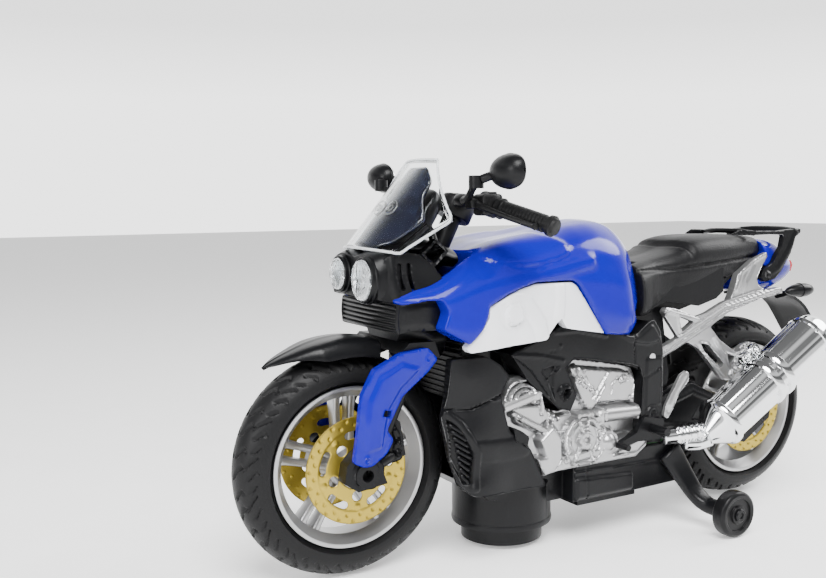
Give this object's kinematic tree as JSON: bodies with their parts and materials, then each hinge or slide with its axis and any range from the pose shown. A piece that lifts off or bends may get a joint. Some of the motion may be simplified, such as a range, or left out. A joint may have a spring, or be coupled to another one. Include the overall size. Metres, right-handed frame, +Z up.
{
  "type": "battery-operated toy motorcycle",
  "caption": "Sport roadster toy motorcycle with a steering fork, spinning spoked wheels, outrigger wheels and a motorised turret under the belly that drives and turns it.",
  "frame": {"origin": "on the ground under the middle of the machine's overall length and width", "axes": "+X forward, +Y to the rider's left, +Z up"},
  "size_m": [0.282, 0.1054, 0.1463],
  "materials": {
    "black_plastic": "satin",
    "fairing_black": "satin",
    "blue_gloss": "gloss",
    "white_gloss": "gloss",
    "seat_grey": "matte",
    "silver_paint": "satin silver",
    "gold_disc": "satin",
    "chrome_trim": "polished",
    "clear_plastic": "clear",
    "red_lens": "gloss",
    "tyre_rubber": "matte",
    "grip_black": "satin",
    "wheel_black": "satin",
    "steel": "brushed",
    "brass_gear": "machined",
    "white_nylon": "natural",
    "drive_rubber": "matte",
    "circuit_green": "solder mask",
    "speaker_grey": "paper cone and frame",
    "cell_wrap": "wrap",
    "switch_red": "gloss"
  },
  "bodies": {
    "chassis": {"frame_left": "black_plastic", "frame_right": "black_plastic", "tank_cover": "blue_gloss", "side_panels": "white_gloss", "seat": "seat_grey", "seat_base": "black_plastic", "subframe_left": "silver_paint", "subframe_right": "silver_paint", "tail_cowl": "blue_gloss", "grab_rail": "black_plastic", "tail_lamp": "red_lens", "plate_bracket": "black_plastic", "rear_indicators": "fairing_black", "engine_left": "silver_paint", "engine_right": "silver_paint", "fairing_left": "fairing_black", "fairing_right": "fairing_black", "belly_pan": "fairing_black", "battery_cover": "fairing_black", "battery_cells": "cell_wrap", "circuit_board": "circuit_green", "speaker": "speaker_grey", "swingarm": "black_plastic", "rear_axle": "steel", "muffler": "chrome_trim", "exhaust_pipe": "chrome_trim", "heel_guards": "silver_paint", "foot_controls": "black_plastic", "stabilizer_arms": "fairing_black", "screws": "steel", "headlight_housing": "black_plastic", "headlight_reflectors": "chrome_trim", "headlight_lenses": "clear_plastic", "nose_grille": "fairing_black", "nose_cover": "black_plastic", "windscreen": "clear_plastic", "instrument_panel": "black_plastic"},
    "steering": {"fork_yoke": "black_plastic", "handlebar": "grip_black", "fork_cover_left": "blue_gloss", "fork_cover_right": "blue_gloss", "fork_feet": "black_plastic", "front_fender": "fairing_black", "front_axle": "steel"},
    "front_wheel": {"front_tyre": "tyre_rubber", "front_rim": "silver_paint", "front_discs": "gold_disc"},
    "rear_wheel": {"rear_tyre": "tyre_rubber", "rear_rim": "silver_paint", "rear_disc": "gold_disc"},
    "mirror_left": {"mirror_left": "black_plastic"},
    "mirror_right": {"mirror_right": "black_plastic"},
    "stabilizer_left": {"stabilizer_wheel_left": "wheel_black"},
    "stabilizer_right": {"stabilizer_wheel_right": "wheel_black"},
    "turret": {"turret_base": "fairing_black", "motor": "steel"},
    "pinion": {"motor_pinion": "brass_gear"},
    "idler": {"idler_gear": "white_nylon"},
    "drive": {"drive_axle": "drive_rubber"},
    "switch": {"power_switch": "switch_red"}
  },
  "joints": [
    {"name": "steering", "type": "hinge", "parent": "chassis", "child": "steering", "pos_m": [0.07873, 0, 0.08], "axis": [-0.4695, 0, 0.8829], "range_deg": [-12, 12]},
    {"name": "front_wheel_spin", "type": "hinge", "parent": "steering", "child": "front_wheel", "pos_m": [0.101, 0, 0.04], "axis": [0, 1, 0], "continuous": true},
    {"name": "rear_wheel_spin", "type": "hinge", "parent": "chassis", "child": "rear_wheel", "pos_m": [-0.089, 0, 0.0396], "axis": [0, 1, 0], "continuous": true},
    {"name": "mirror_left_swivel", "type": "hinge", "parent": "steering", "child": "mirror_left", "pos_m": [0.066, 0.034, 0.1375], "axis": [0, 0, 1], "range_deg": [-25, 25]},
    {"name": "mirror_right_swivel", "type": "hinge", "parent": "steering", "child": "mirror_right", "pos_m": [0.066, -0.034, 0.1375], "axis": [0, 0, 1], "range_deg": [-25, 25]},
    {"name": "stabilizer_left_spin", "type": "hinge", "parent": "chassis", "child": "stabilizer_left", "pos_m": [-0.044, 0.0483, 0.0092], "axis": [0, 1, 0], "continuous": true},
    {"name": "stabilizer_right_spin", "type": "hinge", "parent": "chassis", "child": "stabilizer_right", "pos_m": [-0.044, -0.0483, 0.0092], "axis": [0, 1, 0], "continuous": true},
    {"name": "turret_turn", "type": "hinge", "parent": "chassis", "child": "turret", "pos_m": [0.033, 0, 0.01], "axis": [0, 0, 1], "continuous": true},
    {"name": "drive_axle_spin", "type": "hinge", "parent": "turret", "child": "drive", "pos_m": [0.033, 0, 0.006], "axis": [0, 1, 0], "continuous": true},
    {"name": "idler_spin", "type": "hinge", "parent": "turret", "child": "idler", "pos_m": [0.033, -0.0066, 0.015], "axis": [0, 1, 0], "continuous": true},
    {"name": "pinion_spin", "type": "hinge", "parent": "turret", "child": "pinion", "pos_m": [0.033, -0.0066, 0.023], "axis": [0, 1, 0], "continuous": true},
    {"name": "power_switch_slide", "type": "slide", "parent": "chassis", "child": "switch", "axis": [1, 0, 0], "range_m": [0, 0.004]}
  ],
  "couplings": [
    {"joint": "idler_spin", "follows": "drive_axle_spin", "ratio": -0.5},
    {"joint": "pinion_spin", "follows": "drive_axle_spin", "ratio": 1.5}
  ]
}
